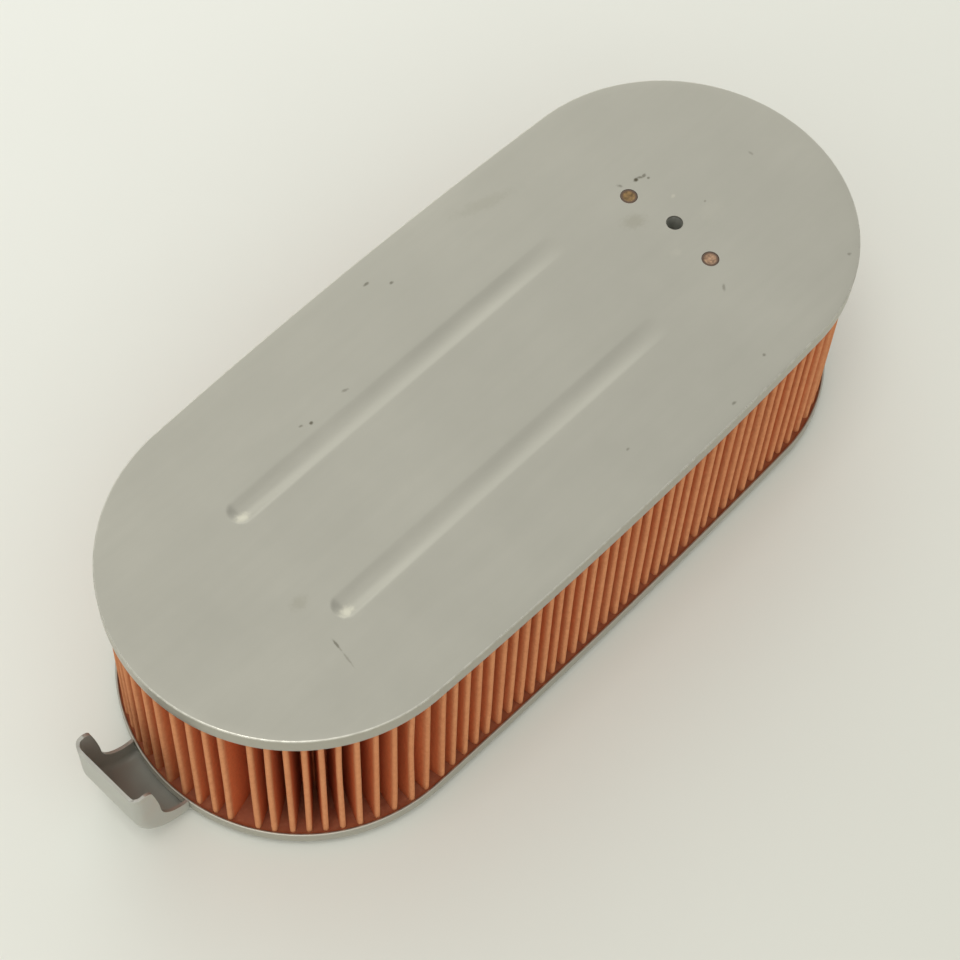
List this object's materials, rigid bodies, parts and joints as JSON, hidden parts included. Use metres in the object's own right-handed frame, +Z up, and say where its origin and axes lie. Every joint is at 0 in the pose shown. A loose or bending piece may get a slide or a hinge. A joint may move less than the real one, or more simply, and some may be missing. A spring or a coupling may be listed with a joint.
{
  "type": "air filter element",
  "caption": "Oval pleated-paper air filter cartridge with flat steel end plates, a bolt hole, an open base and a latch tab.",
  "frame": {"origin": "bottom centre of the whole part's bounding box, on the gasket's sealing plane", "axes": "+X along the long axis towards the bolt-hole end, with the latch tab at the -X end; +Z up from the open, gasketed base to the closed top plate; +Y completes a right-handed frame"},
  "size_m": [0.287, 0.1164, 0.074],
  "materials": {
    "plate_steel": "satin, slightly warm grey plated sheet",
    "paper": "matt resin-treated filter paper, orange-brown",
    "screen_steel": "satin perforated sheet",
    "adhesive": "dull red-brown set adhesive",
    "gasket": "matt black foam rubber",
    "inner_steel": "satin plated steel",
    "tab_steel": "smooth, fairly glossy plated steel",
    "weld": "heat-browned spot weld"
  },
  "bodies": {
    "root": {"top_plate": "plate_steel", "bottom_plate": "plate_steel", "filter_paper": "paper", "inner_screen": "screen_steel", "top_adhesive": "adhesive", "bottom_adhesive": "adhesive", "base_gasket": "gasket", "sleeve_flange": "inner_steel", "bolt_sleeve": "inner_steel", "latch_tab": "tab_steel", "flange_weld_left": "weld", "flange_weld_right": "weld", "tab_weld_1": "weld", "tab_weld_2": "weld"}
  },
  "joints": []
}
